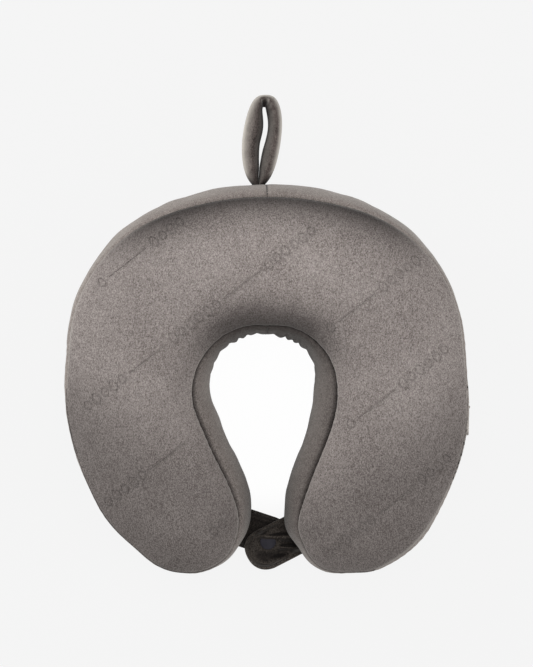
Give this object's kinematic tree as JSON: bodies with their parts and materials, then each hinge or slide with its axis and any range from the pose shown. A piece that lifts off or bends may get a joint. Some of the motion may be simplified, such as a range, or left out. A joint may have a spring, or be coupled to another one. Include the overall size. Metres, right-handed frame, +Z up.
{
  "type": "neck pillow",
  "caption": "U-shaped memory foam travel neck pillow in a zipped velour cover, with a hanging loop at the back and snap straps that join the arm ends.",
  "frame": {"origin": "on the table, under the middle of the roll behind the neck, on the pillow's middle plane", "axes": "+Z up from the resting face, +Y from the neck to the back of the pillow where the hanging loop is, +X across to the arm with the zip; the arms open towards -Y"},
  "size_m": [0.3138, 0.3684, 0.1],
  "materials": {
    "velour": "soft velour, taupe grey",
    "gusset_velour": "soft velour, taupe grey",
    "strap_velour": "short velour, near black brown",
    "foam": "open-cell memory foam",
    "liner_jersey": "thin white jersey",
    "thread": "polyester sewing thread",
    "zip_tape": "woven polyester tape",
    "zip_nylon": "moulded nylon coil",
    "zip_metal": "painted zinc casting",
    "snap_plastic": "moulded resin, dark slate"
  },
  "bodies": {
    "pillow": {"foam_core": "foam", "foam_liner": "liner_jersey", "top_panel": "velour", "bottom_panel": "velour", "left_gusset": "gusset_velour", "right_gusset": "gusset_velour", "zip_garage": "gusset_velour", "zip_tape_upper": "zip_tape", "zip_tape_lower": "zip_tape", "zip_coil_upper": "zip_nylon", "zip_coil_lower": "zip_nylon", "zip_top_stop": "zip_metal", "zip_bottom_stop": "zip_metal", "zip_topstitch": "thread", "top_seam_thread": "thread", "bottom_seam_thread": "thread", "back_seam_thread": "thread", "nape_seam_thread": "thread"},
    "slider": {"zip_slider": "zip_metal"},
    "pull": {"zip_pull": "zip_metal"},
    "right_strap": {"right_strap": "strap_velour", "right_strap_stitching": "thread", "snap_cap": "snap_plastic", "snap_socket": "snap_plastic"},
    "left_strap": {"left_strap": "strap_velour", "left_strap_stitching": "thread", "snap_stud": "snap_plastic", "snap_back_cap": "snap_plastic"},
    "loop": {"hang_loop": "velour"}
  },
  "joints": [
    {"name": "zip_slide", "type": "hinge", "parent": "pillow", "child": "slider", "pos_m": [0.00422, -0.11082, 0.05], "axis": [0, 0, -1], "range_deg": [0, 51]},
    {"name": "zip_pull_flip", "type": "hinge", "parent": "slider", "child": "pull", "pos_m": [0.15718, -0.11441, 0.05], "axis": [0, 0, 1], "range_deg": [0, 165]},
    {"name": "right_strap_lift", "type": "hinge", "parent": "pillow", "child": "right_strap", "pos_m": [0.01735, -0.21719, 0.0225], "axis": [-0.454, 0.891, 0], "range_deg": [0, 65]},
    {"name": "left_strap_drop", "type": "hinge", "parent": "pillow", "child": "left_strap", "pos_m": [-0.01774, -0.20943, 0.0161], "axis": [0.3173, 0.9483, 0], "range_deg": [0, 80]},
    {"name": "hang_loop_flop", "type": "hinge", "parent": "pillow", "child": "loop", "pos_m": [0, 0.06591, 0.05], "axis": [1, 0, 0], "range_deg": [-75, 75]}
  ]
}
